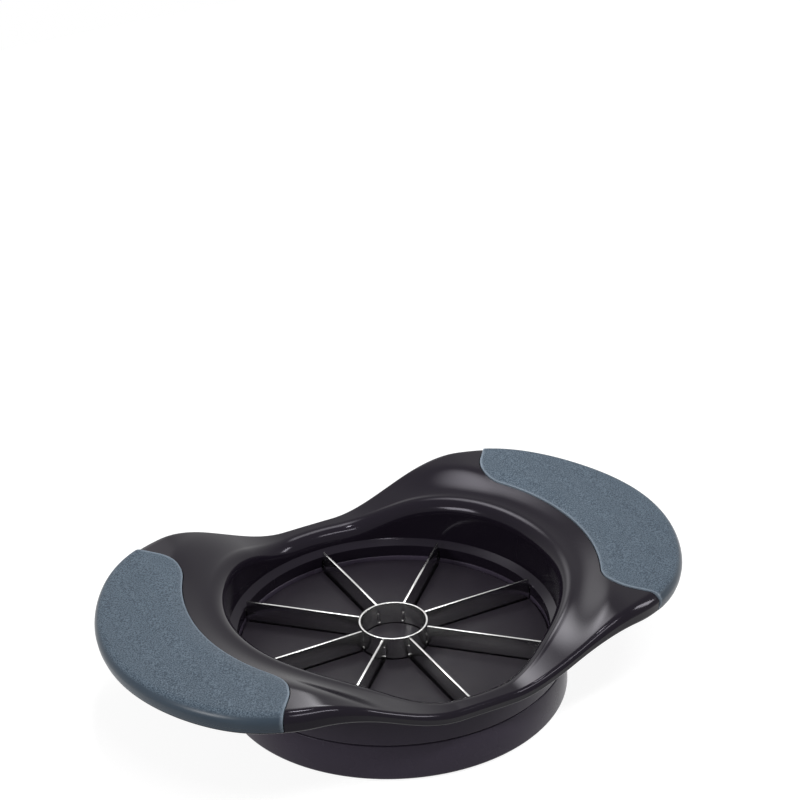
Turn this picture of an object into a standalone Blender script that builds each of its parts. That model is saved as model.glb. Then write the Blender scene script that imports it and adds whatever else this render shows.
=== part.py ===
"""Fruit wedger press: a saddle-shaped frame with soft grips, eight radial blades and a core
ring, standing on a round base whose pads push the fruit clear of the blades.

Metres, +Z up, X along the wings. The origin is the centre of the base's underside.
"""
import math

import bpy
import bmesh
from mathutils import Vector

# Overall form
LENGTH = 0.188                  # over the two grips
BORE_RADIUS = 0.0515            # inside of the funnel
RIM_WIDTH = 0.0042              # flat rim outside the lip at the waist
WING_RISE = 0.0137              # wings above the waist
OUTLINE_POWER = 8.6             # how tightly the wings' ends turn into the waist's sides
SADDLE_START = 0.0089           # distance from the middle where the deck starts to rise
SADDLE_RUN = 0.0451             # and over which it rises to the wings
DROOP = 0.0012                  # how far the wings' tips fall again
DROOP_START = 0.057
DROOP_RUN = 0.035

# Fit between pieces
CLEARANCE = 0.0003              # gap left between pieces that seat on each other
OVERRUN = 0.001                 # how far a cut runs past the face it opens
EMBED = 0.0005                  # how deep a rib or peg is rooted in its parent

# Frame
WALL = 0.0025                   # moulded wall
LIP_ROUND = 0.005               # rounding from the deck into the funnel
DIP_DEPTH = 0.0033              # how far the wing deck dips towards the funnel
DIP_START = 0.027               # distance from the middle where that dip begins
DIP_RUN = 0.027                 # and over which it deepens
DIP_REACH = 0.0132              # radial width of the dip, from the lip outwards
SIDE_WAIST = 0.0042             # height of the edge at the waist
SIDE_WING = 0.0066              # and at the wings
SIDE_START = 0.030
SIDE_RUN = 0.030
EDGE_ROUND_WAIST = 0.0015
EDGE_ROUND_WING = 0.0028
SIDE_DRAFT = 0.0016             # how far the edge leans in at its foot
FOOT_CHAMFER = 0.0005
THICK_START = 0.036             # the wall thickens here to take the grip's pocket
THICK_RUN = 0.016
RIB_ANGLES = (12.0, 33.0)       # degrees from the X axis, both sides of it
RIB_THICKNESS = 0.0018
RIB_DEPTH = 0.0043              # how far a rib reaches down the skirt below the deck

# Grips
GRIP_DEPTH = 0.002              # thickness below the frame's skin
GRIP_PROUD = 0.0003             # how far a grip stands above the frame's skin
GRIP_NECK = 0.0081              # bare deck between the lip and a grip's hollow side
GRIP_LOBE_SHARE = 0.353         # radius of the rounded ends, as a share of the mean width
GRIP_LOBE_PLACE_SHARE = 0.735   # their centres out from the X axis, as a share of the bore
GRIP_LOBE_SWEEP = 66.0          # degrees of lobe before its straight run to the edge
GRIP_FOOT = 0.0008              # strip of frame left bare below the grip
GRIP_BAND_SHARE = 0.38          # smooth band at the foot, as a share of the upright side
GRIP_STEP = 0.0003              # how far that band is set back
GRIP_BEVEL = 0.0004
GRIP_BEVEL_ANGLE = 60.0         # degrees: only edges sharper than this are bevelled
PEG_RADIUS = 0.003
PEG_PLACE_SHARE = 0.44          # place of the pegs across the grip
PEG_ANGLES = (-22.5, 0.0, 22.5)
PEG_PROUD = 0.0006              # peg end below the deck

# Base
SEAM_HEIGHT = 0.0129            # middle of the gap between skirt and drum
SEAM_CHAMFER = 0.0004
BASE_LIFT = 0.0006              # drum above the table, on its soft ring
BASE_ROUND = 0.0010
FLANGE_WIDTH = 0.008            # bottom flange of the drum, inwards
FLANGE_THICKNESS = 0.0025
LEDGE_WIDTH = 0.003
LEDGE_THICKNESS = 0.002
RING_WIDTH = 0.0029
RING_SINK = 0.0012              # how deep the soft ring sits in its groove
RING_EDGE = 0.0004

# Press plate
PLATE_THICKNESS = 0.0023
PAD_HEIGHT = 0.003              # pads above the groove floor
PAD_CHAMFER = 0.0005
GROOVE_PLAY = 0.00045           # free space each side of a blade in its groove
PLATE_RIB_THICKNESS = 0.0016
PLATE_RIB_HEIGHT = 0.003
PLATE_HUB_RADIUS = 0.012
PLATE_HUB_WALL = 0.0016

# What holds the blades
SEAT_STEP = 0.0026              # how far the seat stands in from the funnel's wall
CLAMP_HEIGHT = 0.00325
SEAT_HEIGHT = 0.0036
SEAT_SLOPE = 0.0014             # height of the sloped step above the seat
FUNNEL_WALL = 0.0003            # upright wall left above it at the waist
CLAMP_CHAMFER = 0.0003

# Blades and core ring
BLADE_COUNT = 8
BLADE_THICKNESS = 0.0007
BLADE_HEIGHT = 0.009
FLOOR_GAP = 0.00095             # cutting edges above the groove floor
GRIND_HEIGHT = 0.0022           # ground part above the cutting edge
GRIND_EDGE = 0.00012            # thickness left at the cutting edge
CORE_RADIUS = 0.0108            # outside of the core ring
CORE_WALL = 0.0006
CORE_PROUD = 0.0004             # core ring beyond the blades, above and below
TAB_DROP = 0.0014               # outer tabs below the clamp ring's top
TAB_RISE = 0.0021               # and above the seat's underside
CORE_TAB_HEIGHT = 0.003         # tabs at the blades' inner ends

# Facets
AROUND = 68                     # round the frame
TURNED_STEPS = 52
PIN_SIDES = 16
SHARP_ANGLE = 32.0              # degrees between faces that keep their edge
CLOSE_STEPS = 40                # halvings that find where a grip's border meets the outline
EDGE_STEPS = 3
LIP_STEPS = 4
FILLET_STEPS = 2
FOOT_STEPS = 3
GRIP_STATIONS = 24
GRIP_TOP_STEPS = 4
DIP_SHARES = (0.33, 0.67, 1.0)
DECK_SHARES = (0.35, 0.7)
UNDER_SHARES = (0.3, 0.65)

# Sizes that follow, across
SKIRT_RADIUS = BORE_RADIUS + WALL
LIP_REACH = BORE_RADIUS + LIP_ROUND
HALF_LENGTH = LENGTH / 2 - GRIP_PROUD
HALF_WIDTH = LIP_REACH + RIM_WIDTH
POCKET = GRIP_DEPTH + CLEARANCE
GRIP_INNER_RADIUS = LIP_REACH + GRIP_NECK
GRIP_WIDTH = HALF_LENGTH - GRIP_INNER_RADIUS
GRIP_LOBE_RADIUS = math.sqrt(GRIP_WIDTH * HALF_WIDTH) * GRIP_LOBE_SHARE
GRIP_LOBE_REACH = GRIP_INNER_RADIUS + GRIP_LOBE_RADIUS
GRIP_LOBE_ANGLE = math.asin(BORE_RADIUS * GRIP_LOBE_PLACE_SHARE / GRIP_LOBE_REACH)
PEG_PLACE_RADIUS = GRIP_INNER_RADIUS + GRIP_WIDTH * PEG_PLACE_SHARE
SEAT_RADIUS = BORE_RADIUS - SEAT_STEP
CLAMP_RADIUS = BORE_RADIUS - CLEARANCE
TAB_REACH = CLAMP_RADIUS - CLEARANCE
BLADE_INNER = CORE_RADIUS + CLEARANCE
BLADE_OUTER = SEAT_RADIUS - CLEARANCE
PLATE_RADIUS = BORE_RADIUS - CLEARANCE
PAD_OUTER = BLADE_OUTER - CLEARANCE
GROOVE_HALF = BLADE_THICKNESS / 2 + GROOVE_PLAY
SLOT_HALF = BLADE_THICKNESS / 2 + CLEARANCE

# Sizes that follow, upwards
DRUM_HIGH = SEAM_HEIGHT - CLEARANCE / 2
SKIRT_LOW = SEAM_HEIGHT + CLEARANCE / 2
PLATE_HIGH = DRUM_HIGH - CLEARANCE
PLATE_LOW = PLATE_HIGH - PLATE_THICKNESS
PAD_TOP = PLATE_HIGH + PAD_HEIGHT
CLAMP_LOW = SKIRT_LOW + CLEARANCE
CLAMP_HIGH = CLAMP_LOW + CLAMP_HEIGHT
SEAT_LOW = CLAMP_HIGH + CLEARANCE
SEAT_HIGH = SEAT_LOW + SEAT_HEIGHT
WAIST_HEIGHT = SEAT_HIGH + SEAT_SLOPE + FUNNEL_WALL + LIP_ROUND
WING_HEIGHT = WAIST_HEIGHT + WING_RISE
BLADE_LOW = PLATE_HIGH + FLOOR_GAP
BLADE_HIGH = BLADE_LOW + BLADE_HEIGHT
TAB_LOW = CLAMP_HIGH - TAB_DROP
TAB_HIGH = SEAT_LOW + TAB_RISE
CORE_TAB_LOW = (BLADE_LOW + BLADE_HIGH - CORE_TAB_HEIGHT) / 2
CORE_TAB_HIGH = CORE_TAB_LOW + CORE_TAB_HEIGHT

PLASTIC = ("gloss_black_plastic", (0.030, 0.027, 0.031), 0.22, 0.0)
DRUM_PLASTIC = ("satin_black_plastic", (0.024, 0.021, 0.024), 0.34, 0.0)
SOFT_GREY = ("soft_touch_grey", (0.112, 0.148, 0.184), 0.72, 0.0)
SOFT_BLACK = ("soft_black_ring", (0.015, 0.015, 0.016), 0.80, 0.0)
STEEL = ("stainless_blade", (0.62, 0.62, 0.61), 0.26, 1.0)


def clear_scene():
    for item in list(bpy.data.objects):
        bpy.data.objects.remove(item, do_unlink=True)
    for group in list(bpy.data.collections):
        bpy.data.collections.remove(group)


def new_collection(name):
    group = bpy.data.collections.new(name)
    bpy.context.scene.collection.children.link(group)
    return group


def make_material(finish):
    name, colour, roughness, metallic = finish
    material = bpy.data.materials.get(name)
    if material is None:
        material = bpy.data.materials.new(name)
        material.use_nodes = True
        shader = material.node_tree.nodes["Principled BSDF"]
        shader.inputs["Base Color"].default_value = (*colour, 1.0)
        shader.inputs["Roughness"].default_value = roughness
        shader.inputs["Metallic"].default_value = metallic
    return material


def new_object(name, mesh, group, finish=None):
    item = bpy.data.objects.new(name, mesh)
    group.objects.link(item)
    if finish is None:
        item.hide_render = True
        item.display_type = "WIRE"
    elif not mesh.materials:
        mesh.materials.append(make_material(finish))
    return item


def mesh_from(name, bm):
    """Store a bmesh with its faces pointing out and its round faces smooth."""
    bmesh.ops.recalc_face_normals(bm, faces=bm.faces)
    mesh = bpy.data.meshes.new(name)
    bm.to_mesh(mesh)
    bm.free()
    shade_round(mesh)
    return mesh


def shade_round(mesh):
    mesh.shade_smooth()
    mesh.set_sharp_from_angle(angle=math.radians(SHARP_ANGLE))


def boolean(item, tool, operation="DIFFERENCE"):
    modifier = item.modifiers.new(tool.name, "BOOLEAN")
    modifier.operation = operation
    modifier.object = tool
    modifier.solver = "EXACT"


def turned(name, profile, group, finish=None):
    """Turn a closed outline of (radius, height) points about Z.

    The points run down the outer side and back up the inner side.
    """
    mesh = bpy.data.meshes.new(name)
    points = [(radius, 0, height) for radius, height in profile]
    on_axis = profile[0][0] == 0 and profile[-1][0] == 0
    count = len(points)
    edges = [(k, k + 1) for k in range(count - 1)]
    if not on_axis:
        edges.append((count - 1, 0))
    mesh.from_pydata(points, edges, [])
    item = new_object(name, mesh, group, finish)
    screw = item.modifiers.new("turn", "SCREW")
    screw.axis = "Z"
    screw.angle = 2 * math.pi
    screw.steps = TURNED_STEPS
    screw.render_steps = TURNED_STEPS
    screw.use_merge_vertices = True
    screw.merge_threshold = CLEARANCE / 10
    depsgraph = bpy.context.evaluated_depsgraph_get()
    solid = bpy.data.meshes.new_from_object(item.evaluated_get(depsgraph))
    item.modifiers.clear()
    item.data = solid
    shade_round(solid)
    return item


def loft(bm, sections, close):
    """Skin a row of closed sections; the row closes on itself or gets an end cap at each end."""
    rows = [[bm.verts.new(point) for point in section] for section in sections]
    pairs = list(zip(rows, rows[1:]))
    if close:
        pairs.append((rows[-1], rows[0]))
    for first, second in pairs:
        for k in range(len(first)):
            after = (k + 1) % len(first)
            bm.faces.new((first[k], first[after], second[after], second[k]))
    if not close:
        bm.faces.new(rows[0])
        bm.faces.new(rows[-1])


def radial_prisms(name, inner, outer, section, group):
    """Eight bars, one along each blade, with the given half section of (half width, height)."""
    outline = list(section) + [(-half, height) for half, height in reversed(section)]
    bm = bmesh.new()
    for k in range(BLADE_COUNT):
        angle = 2 * math.pi * k / BLADE_COUNT
        along = Vector((math.cos(angle), math.sin(angle), 0))
        across = Vector((-math.sin(angle), math.cos(angle), 0))
        ends = [[along * reach + across * half + Vector((0, 0, height)) for half, height in outline]
                for reach in (inner, outer)]
        loft(bm, ends, close=False)
    return new_object(name, mesh_from(name, bm), group)


def smooth_share(value):
    """A share from 0 to 1 that leaves and arrives level."""
    value = min(max(value, 0.0), 1.0)
    return value * value * (3 - 2 * value)


def between(distance, start, run, first, last):
    return first + (last - first) * smooth_share((abs(distance) - start) / run)


def outline_edge(angle):
    """Point of the frame's outline in plan at a polar angle, and its outward normal.

    The wing's end is a bow as round as the half width, and blends into the straight side.
    """
    cosine, sine = math.cos(angle), math.sin(angle)
    bow = HALF_LENGTH * sine ** 2 / HALF_WIDTH
    root = math.sqrt(cosine ** 2 + 2 * bow)
    end = (abs(cosine) + root) / (2 * HALF_LENGTH)
    side = abs(sine) / HALF_WIDTH
    radius = (end ** OUTLINE_POWER + side ** OUTLINE_POWER) ** (-1 / OUTLINE_POWER)
    end_pull = (radius * end) ** (OUTLINE_POWER - 1)
    side_pull = (radius * side) ** (OUTLINE_POWER - 1) / HALF_WIDTH
    slope_x = end_pull * (1 + abs(cosine) / root) / (2 * HALF_LENGTH)
    slope_y = end_pull * abs(sine) / (HALF_WIDTH * root) + side_pull
    normal = Vector((math.copysign(slope_x, cosine), math.copysign(slope_y, sine))).normalized()
    return Vector((radius * cosine, radius * sine)), normal


def deck_height(plan):
    """Top of the frame: a saddle that rises to the wings, droops at their tips and dips at
    the opening."""
    saddle = between(plan.x, SADDLE_START, SADDLE_RUN, WAIST_HEIGHT, WING_HEIGHT)
    droop = between(plan.x, DROOP_START, DROOP_RUN, 0.0, DROOP)
    dip = between(plan.x, DIP_START, DIP_RUN, 0.0, DIP_DEPTH)
    fade = 1 - smooth_share((plan.length - LIP_REACH) / DIP_REACH)
    return saddle - droop - dip * fade


def edge_sizes(edge):
    """Side height, edge rounding and wall thickness at a point of the outline."""
    side = between(edge.x, SIDE_START, SIDE_RUN, SIDE_WAIST, SIDE_WING)
    rounding = between(edge.x, SIDE_START, SIDE_RUN, EDGE_ROUND_WAIST, EDGE_ROUND_WING)
    wall = between(edge.x, THICK_START, THICK_RUN, WALL, WALL + POCKET)
    return side, rounding, wall


def at(plan, height):
    return Vector((plan.x, plan.y, height))


def frame_section(angle):
    """Closed section of the frame: edge, deck, lip, funnel, skirt and back along the underside."""
    edge, normal = outline_edge(angle)
    side, rounding, wall = edge_sizes(edge)
    foot = deck_height(edge) - side
    outward = Vector((math.cos(angle), math.sin(angle)))
    points = [at(edge - normal * (SIDE_DRAFT + FOOT_CHAMFER), foot),
              at(edge - normal * SIDE_DRAFT, foot + FOOT_CHAMFER)]
    for k in range(EDGE_STEPS + 1):
        turn = math.pi / 2 * k / EDGE_STEPS
        plan = edge - normal * rounding * (1 - math.cos(turn))
        points.append(at(plan, deck_height(plan) - rounding * (1 - math.sin(turn))))

    lip = outward * LIP_REACH
    rim = edge - normal * rounding
    reach = rim - lip
    dip_end = min(DIP_REACH / reach.length, 1 - DECK_SHARES[0])
    shares = [1 - (1 - dip_end) * share for share in DECK_SHARES]
    shares += [dip_end * share for share in reversed(DIP_SHARES)]
    points += [at(lip + reach * share, deck_height(lip + reach * share)) for share in shares]

    lip_height = deck_height(lip)
    for k in range(LIP_STEPS + 1):
        turn = math.pi / 2 * k / LIP_STEPS
        radius = BORE_RADIUS + LIP_ROUND * (1 - math.sin(turn))
        points.append(at(outward * radius, lip_height - LIP_ROUND * (1 - math.cos(turn))))

    turned_points = ((BORE_RADIUS, SEAT_HIGH + SEAT_SLOPE), (SEAT_RADIUS, SEAT_HIGH),
                     (SEAT_RADIUS, SEAT_LOW), (BORE_RADIUS, SEAT_LOW), (BORE_RADIUS, SKIRT_LOW),
                     (SKIRT_RADIUS - SEAM_CHAMFER, SKIRT_LOW),
                     (SKIRT_RADIUS, SKIRT_LOW + SEAM_CHAMFER))
    points += [at(outward * radius, height) for radius, height in turned_points]

    fillet = LIP_ROUND - WALL
    centre_height = lip_height - LIP_ROUND - (wall - WALL)
    for k in range(FILLET_STEPS + 1):
        turn = math.pi / 2 * k / FILLET_STEPS
        radius = LIP_REACH - fillet * math.cos(turn)
        points.append(at(outward * radius, centre_height + fillet * math.sin(turn)))

    inside = edge - normal * (wall + SIDE_DRAFT)
    for share in (*UNDER_SHARES, 1.0):
        plan = lip.lerp(inside, share)
        points.append(at(plan, deck_height(plan) - wall))
    points.append(at(inside, foot))
    return points


def grip_end_angle(grow):
    """Polar angle where the straight run past a grip's lobe meets the outline."""
    start, run = grip_inner(1.0, grow)
    near, far = 0.0, HALF_WIDTH
    for _ in range(CLOSE_STEPS):
        middle = (near + far) / 2
        point = start + run * middle
        edge, _ = outline_edge(math.atan2(point.y, point.x))
        if point.length < edge.length:
            near = middle
        else:
            far = middle
    point = start + run * near
    return math.atan2(point.y, point.x)


def grip_inner(station, grow):
    """Inner border of the right grip at a station from -1 to 1, and its direction there.

    An arc about the middle of the opening runs tangent into a rounded lobe at each end.
    """
    hollow = GRIP_INNER_RADIUS * GRIP_LOBE_ANGLE
    lobe = GRIP_LOBE_RADIUS * math.radians(GRIP_LOBE_SWEEP)
    travel = abs(station) * (hollow + lobe)
    if travel <= hollow:
        angle = travel / GRIP_INNER_RADIUS
        point = Vector((math.cos(angle), math.sin(angle))) * (GRIP_INNER_RADIUS - grow)
        run = Vector((-math.sin(angle), math.cos(angle)))
    else:
        angle = GRIP_LOBE_ANGLE + math.pi - (travel - hollow) / GRIP_LOBE_RADIUS
        centre = Vector((math.cos(GRIP_LOBE_ANGLE), math.sin(GRIP_LOBE_ANGLE))) * GRIP_LOBE_REACH
        point = centre + Vector((math.cos(angle), math.sin(angle))) * (GRIP_LOBE_RADIUS + grow)
        run = Vector((math.sin(angle), -math.cos(angle)))
    if station < 0:
        point.y = -point.y
        run.y = -run.y
    return point, run


def grip_skin(border, edge, normal, lift):
    """Points over the deck and round the edge, lifted off the frame's skin by a distance."""
    _, rounding, _ = edge_sizes(edge)
    across = (edge - border).normalized()
    stretch = 1 / across.dot(normal)
    centre = edge - across * rounding * stretch
    points = []
    for k in range(GRIP_TOP_STEPS):
        plan = border.lerp(centre, k / GRIP_TOP_STEPS)
        points.append(at(plan, deck_height(plan) + lift))
    for k in range(EDGE_STEPS + 1):
        turn = math.pi / 2 * k / EDGE_STEPS
        plan = centre + across * (rounding + lift) * stretch * math.sin(turn)
        drop = rounding - (rounding + lift) * math.cos(turn)
        points.append(at(plan, deck_height(plan) - drop))
    return points


def side_point(edge, across, normal, height, lift):
    """Point on the frame's drafted side, lifted off it by a distance."""
    side, rounding, _ = edge_sizes(edge)
    top = deck_height(edge) - rounding
    foot = deck_height(edge) - side
    inset = SIDE_DRAFT * (top - height) / (top - foot)
    return at(edge + across * (lift - inset) / across.dot(normal), height)


def grip_section(station, end_angle, grow, top, depth, step):
    border, _ = grip_inner(station, grow)
    edge, normal = outline_edge(station * end_angle)
    across = (edge - border).normalized()
    side, rounding, _ = edge_sizes(edge)
    foot = deck_height(edge) - side + GRIP_FOOT - grow
    band = foot + (side - rounding - GRIP_FOOT) * GRIP_BAND_SHARE
    points = grip_skin(border, edge, normal, top)
    if step > 0:
        points.append(side_point(edge, across, normal, band + step, top))
        points.append(side_point(edge, across, normal, band, top - step))
    points.append(side_point(edge, across, normal, foot, top - step))
    points.append(side_point(edge, across, normal, foot, -depth))
    points += reversed(grip_skin(border, edge, normal, -depth))
    return points


def grip_solid(name, hand, grow, top, depth, step, group, finish=None):
    """A grip, or with a clearance grown round it the pocket that takes it."""
    end_angle = grip_end_angle(grow)
    stations = [2 * k / GRIP_STATIONS - 1 for k in range(GRIP_STATIONS + 1)]
    sections = [grip_section(station, end_angle, grow, top, depth, step) for station in stations]
    for section in sections:
        for point in section:
            point.x *= hand
    bm = bmesh.new()
    loft(bm, sections, close=False)
    return new_object(name, mesh_from(name, bm), group, finish)


def peg_places(hand):
    for degrees in PEG_ANGLES:
        angle = math.radians(degrees)
        yield Vector((hand * PEG_PLACE_RADIUS * math.cos(angle), PEG_PLACE_RADIUS * math.sin(angle)))


def round_pins(name, places, radius, low, high, group):
    """Upright round pins between two heights given as functions of the place."""
    bm = bmesh.new()
    for plan in places:
        bottom, top = low(plan), high(plan)
        pin = bmesh.ops.create_cone(bm, cap_ends=True, segments=PIN_SIDES, radius1=radius, radius2=radius,
                                    depth=top - bottom)
        bmesh.ops.translate(bm, verts=pin["verts"], vec=at(plan, (top + bottom) / 2))
    return new_object(name, mesh_from(name, bm), group)


def deck_underside(plan):
    return deck_height(plan) - WALL - POCKET


def wing_rib(name, angle, group):
    """An upright rib under a wing, from the skirt out to the side wall."""
    edge, _ = outline_edge(angle)
    outward = Vector((math.cos(angle), math.sin(angle)))
    across = Vector((-outward.y, outward.x)) * RIB_THICKNESS / 2
    side, _, wall = edge_sizes(edge)
    under = deck_underside(edge)
    root = (BORE_RADIUS + SKIRT_RADIUS) / 2
    tip = edge.length - POCKET - WALL / 2
    foot = deck_height(edge) - side + FOOT_CHAMFER + GRIP_FOOT
    dip_end = LIP_REACH + DIP_REACH
    lip_under = deck_height(outward * LIP_REACH) - wall
    profile = ((root, lip_under - RIB_DEPTH), (root, lip_under - LIP_ROUND / 2),
               (LIP_REACH, lip_under + WALL / 2), (dip_end, under + EMBED), (tip, under + EMBED),
               (tip, foot))
    bm = bmesh.new()
    faces = [[at(outward * radius + across * hand, height) for radius, height in profile]
             for hand in (-1, 1)]
    loft(bm, faces, close=False)
    return new_object(name, mesh_from(name, bm), group)


def build_frame(group, cutters):
    bm = bmesh.new()
    loft(bm, [frame_section(2 * math.pi * k / AROUND) for k in range(AROUND)], close=True)
    frame = new_object("frame_body", mesh_from("frame_body", bm), group, PLASTIC)
    for side in (0.0, 180.0):
        for degrees in RIB_ANGLES:
            for angle in (side + degrees, side - degrees):
                rib = wing_rib(f"rib_{angle:.0f}", math.radians(angle), cutters)
                boolean(frame, rib, "UNION")
    for name, hand in (("left", -1), ("right", 1)):
        pocket = grip_solid(f"{name}_pocket", hand, CLEARANCE, OVERRUN, POCKET, 0, cutters)
        boolean(frame, pocket)
        holes = round_pins(f"{name}_peg_holes", peg_places(hand), PEG_RADIUS + CLEARANCE,
                           lambda plan: deck_underside(plan) - OVERRUN,
                           lambda plan: deck_height(plan) + OVERRUN, cutters)
        boolean(frame, holes)
    slots = radial_prisms("seat_slots", SEAT_RADIUS - OVERRUN, CLAMP_RADIUS,
                          ((SLOT_HALF, SEAT_LOW - OVERRUN), (SLOT_HALF, TAB_HIGH + CLEARANCE)), cutters)
    boolean(frame, slots)
    return frame


def build_grip(name, hand, group, cutters):
    grip = grip_solid(name, hand, 0.0, GRIP_PROUD, GRIP_DEPTH, GRIP_STEP, group, SOFT_GREY)
    bevel = grip.modifiers.new("edge", "BEVEL")
    bevel.width = GRIP_BEVEL
    bevel.segments = 1
    bevel.limit_method = "ANGLE"
    bevel.angle_limit = math.radians(GRIP_BEVEL_ANGLE)
    pegs = round_pins(f"{name}_pegs", peg_places(hand), PEG_RADIUS,
                      lambda plan: deck_underside(plan) - PEG_PROUD,
                      lambda plan: deck_height(plan) - GRIP_DEPTH + EMBED, cutters)
    boolean(grip, pegs, "UNION")
    return grip


def blade_mesh():
    """A flat blade along +X with a tab at each end and its lower edge ground thin."""
    core_tab = CORE_RADIUS - CORE_WALL
    outline = ((BLADE_INNER, BLADE_LOW), (BLADE_OUTER, BLADE_LOW), (BLADE_OUTER, TAB_LOW),
               (TAB_REACH, TAB_LOW), (TAB_REACH, TAB_HIGH), (BLADE_OUTER, TAB_HIGH),
               (BLADE_OUTER, BLADE_HIGH), (BLADE_INNER, BLADE_HIGH), (BLADE_INNER, CORE_TAB_HIGH),
               (core_tab, CORE_TAB_HIGH), (core_tab, CORE_TAB_LOW), (BLADE_INNER, CORE_TAB_LOW))
    bm = bmesh.new()
    corners = [bm.verts.new((x, -BLADE_THICKNESS / 2, z)) for x, z in outline]
    face = bm.faces.new(corners)
    grown = bmesh.ops.extrude_face_region(bm, geom=[face])["geom"]
    moved = [item for item in grown if isinstance(item, bmesh.types.BMVert)]
    bmesh.ops.translate(bm, verts=moved, vec=(0, BLADE_THICKNESS, 0))
    grind_top = BLADE_LOW + GRIND_HEIGHT
    bmesh.ops.bisect_plane(bm, geom=bm.verts[:] + bm.edges[:] + bm.faces[:],
                           plane_co=(0, 0, grind_top), plane_no=(0, 0, 1))
    for vert in bm.verts:
        if vert.co.z < BLADE_LOW + EMBED:
            vert.co.y *= GRIND_EDGE / BLADE_THICKNESS
    mesh = mesh_from("blade", bm)
    mesh.shade_flat()
    return mesh


def build_blades(group):
    mesh = blade_mesh()
    blades = []
    for k in range(BLADE_COUNT):
        blade = new_object(f"blade_{k + 1}", mesh, group, STEEL)
        blade.rotation_euler.z = 2 * math.pi * k / BLADE_COUNT
        blades.append(blade)
    return blades


def build_core_cutter(group, cutters):
    """Thin steel tube, ground on the outside of its lower edge, slotted for the blades' tabs."""
    inner = CORE_RADIUS - CORE_WALL
    low = BLADE_LOW - CORE_PROUD
    high = BLADE_HIGH + CORE_PROUD
    profile = ((CORE_RADIUS, high), (CORE_RADIUS, low + GRIND_HEIGHT), (inner + GRIND_EDGE, low),
               (inner, low), (inner, high))
    core = turned("core_cutter", profile, group, STEEL)
    slots = radial_prisms("core_slots", inner - OVERRUN, CORE_RADIUS + OVERRUN,
                          ((SLOT_HALF, CORE_TAB_LOW - CLEARANCE),
                           (SLOT_HALF, CORE_TAB_HIGH + CLEARANCE)), cutters)
    boolean(core, slots)
    return core


def build_clamp_ring(group, cutters):
    """Ring that closes the seat from below and carries the blades' outer tabs."""
    profile = ((CLAMP_RADIUS - CLAMP_CHAMFER, CLAMP_HIGH), (CLAMP_RADIUS, CLAMP_HIGH - CLAMP_CHAMFER),
               (CLAMP_RADIUS, CLAMP_LOW), (SEAT_RADIUS + CLAMP_CHAMFER, CLAMP_LOW),
               (SEAT_RADIUS, CLAMP_LOW + CLAMP_CHAMFER), (SEAT_RADIUS, CLAMP_HIGH))
    ring = turned("blade_clamp_ring", profile, group, PLASTIC)
    slots = radial_prisms("clamp_slots", SEAT_RADIUS - OVERRUN, CLAMP_RADIUS + OVERRUN,
                          ((SLOT_HALF, TAB_LOW - CLEARANCE), (SLOT_HALF, CLAMP_HIGH + OVERRUN)), cutters)
    boolean(ring, slots)
    return ring


def build_base(group):
    """Drum wall with a chamfered seam edge, a ledge for the plate and a grooved bottom flange."""
    bottom_inner = SKIRT_RADIUS - FLANGE_WIDTH
    ledge_high = PLATE_LOW - CLEARANCE
    ledge_low = ledge_high - LEDGE_THICKNESS
    flange_high = BASE_LIFT + FLANGE_THICKNESS
    groove_middle = (bottom_inner + SKIRT_RADIUS - BASE_ROUND) / 2
    groove_half = RING_WIDTH / 2 + CLEARANCE
    groove_high = BASE_LIFT + RING_SINK + CLEARANCE
    profile = [(SKIRT_RADIUS - SEAM_CHAMFER, DRUM_HIGH), (SKIRT_RADIUS, DRUM_HIGH - SEAM_CHAMFER)]
    for k in range(FOOT_STEPS + 1):
        turn = math.pi / 2 * k / FOOT_STEPS
        profile.append((SKIRT_RADIUS - BASE_ROUND * (1 - math.cos(turn)),
                        BASE_LIFT + BASE_ROUND * (1 - math.sin(turn))))
    profile += [(groove_middle + groove_half, BASE_LIFT), (groove_middle + groove_half, groove_high),
                (groove_middle - groove_half, groove_high), (groove_middle - groove_half, BASE_LIFT),
                (bottom_inner, BASE_LIFT), (bottom_inner, flange_high), (BORE_RADIUS, flange_high),
                (BORE_RADIUS, ledge_low), (BORE_RADIUS - LEDGE_WIDTH, ledge_low),
                (BORE_RADIUS - LEDGE_WIDTH, ledge_high), (BORE_RADIUS, ledge_high),
                (BORE_RADIUS, DRUM_HIGH)]
    base = turned("base_body", profile, group, DRUM_PLASTIC)

    outer, inner = groove_middle + RING_WIDTH / 2, groove_middle - RING_WIDTH / 2
    ring_high = BASE_LIFT + RING_SINK
    ring_profile = ((outer, ring_high), (outer, RING_EDGE), (outer - RING_EDGE, 0),
                    (inner + RING_EDGE, 0), (inner, RING_EDGE), (inner, ring_high))
    ring = turned("non_slip_ring", ring_profile, group, SOFT_BLACK)
    return base, ring


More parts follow.
